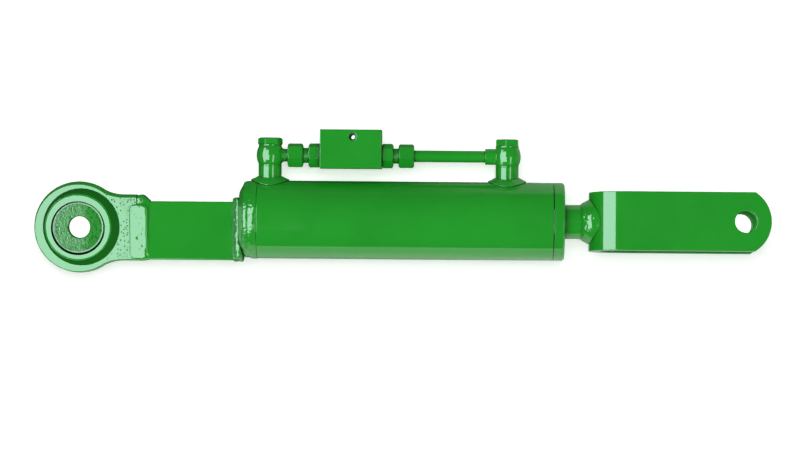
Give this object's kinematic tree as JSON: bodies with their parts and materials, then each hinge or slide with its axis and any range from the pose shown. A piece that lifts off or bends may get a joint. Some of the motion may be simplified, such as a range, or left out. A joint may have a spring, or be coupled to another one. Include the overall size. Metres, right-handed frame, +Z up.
{
  "type": "hydraulic lower link stabilizer",
  "caption": "Hydraulic stabilizer for a tractor's lower link: a ball eye on a flat bar, a welded double-acting cylinder with a check valve block on its oil line, and a rod with a clevis.",
  "frame": {"origin": "centre of the ball eye's pin bore", "axes": "+X along the link from the ball eye to the clevis, +Y square to the link's side, towards the supply ports on the block's far face, +Z up through the oil line above the cylinder; the cylinder's own axis lies 9.5 mm above the origin, and the ball lies swung 5.5 degrees about +Z"},
  "size_m": [0.7534, 0.0808, 0.1489],
  "materials": {
    "paint": "gloss green enamel sprayed over the whole assembled link",
    "steel": "machined, wet with oil",
    "seal_rubber": "moulded, smooth",
    "bearing_strip": "bronze-filled bearing strip"
  },
  "bodies": {
    "barrel": {"eye_housing": "paint", "eye_weld": "paint", "link_bar": "paint", "bar_weld": "paint", "end_cap": "paint", "cap_weld": "paint", "cylinder_tube": "paint", "base_boss": "paint", "rod_boss": "paint", "base_boss_weld": "paint", "rod_boss_weld": "paint", "base_bolt": "paint", "rod_bolt": "paint", "sealing_washers": "paint", "base_banjo": "paint", "rod_banjo": "paint", "union_nuts": "paint", "cutting_rings": "steel", "base_adapter": "paint", "rod_adapter": "paint", "stud_seals": "seal_rubber", "line_tube": "paint", "valve_block": "paint", "valve_seats": "steel", "poppet_springs": "steel", "gland": "paint", "rod_seal": "seal_rubber", "rod_wiper": "seal_rubber", "rod_guide_ring": "bearing_strip", "gland_o_ring": "seal_rubber"},
    "ball_body": {"ball": "paint"},
    "seal_pack": {"piston_seal": "seal_rubber", "wear_rings": "bearing_strip"},
    "rod": {"piston": "steel", "spigot_o_ring": "seal_rubber", "piston_nut": "steel", "piston_rod": "paint", "clevis": "paint", "clevis_weld": "paint"},
    "base_check": {"base_poppet": "steel"},
    "rod_check": {"rod_poppet": "steel"},
    "pilot": {"pilot_piston": "steel", "pilot_seal": "seal_rubber"}
  },
  "joints": [
    {"name": "ball_swivel", "type": "hinge", "parent": "barrel", "child": "ball_body", "pos_m": [0, 0, 0], "axis": [0, 0, 1], "range_deg": [-20.5, 9.5]},
    {"name": "rod_slide", "type": "slide", "parent": "barrel", "child": "seal_pack", "axis": [1, 0, 0], "range_m": [0, 0.185]},
    {"name": "rod_turn", "type": "hinge", "parent": "seal_pack", "child": "rod", "pos_m": [0.6, 0, 0.0095], "axis": [1, 0, 0], "continuous": true},
    {"name": "base_check_lift", "type": "slide", "parent": "barrel", "child": "base_check", "axis": [-1, 0, 0], "range_m": [0, 0.0012], "stiffness_N_per_m": 2500, "springref_m": -0.0012},
    {"name": "rod_check_lift", "type": "slide", "parent": "barrel", "child": "rod_check", "axis": [1, 0, 0], "range_m": [0, 0.0012], "stiffness_N_per_m": 2500, "springref_m": -0.0012},
    {"name": "pilot_shuttle", "type": "slide", "parent": "barrel", "child": "pilot", "axis": [1, 0, 0], "range_m": [-0.0006, 0.0006]}
  ]
}
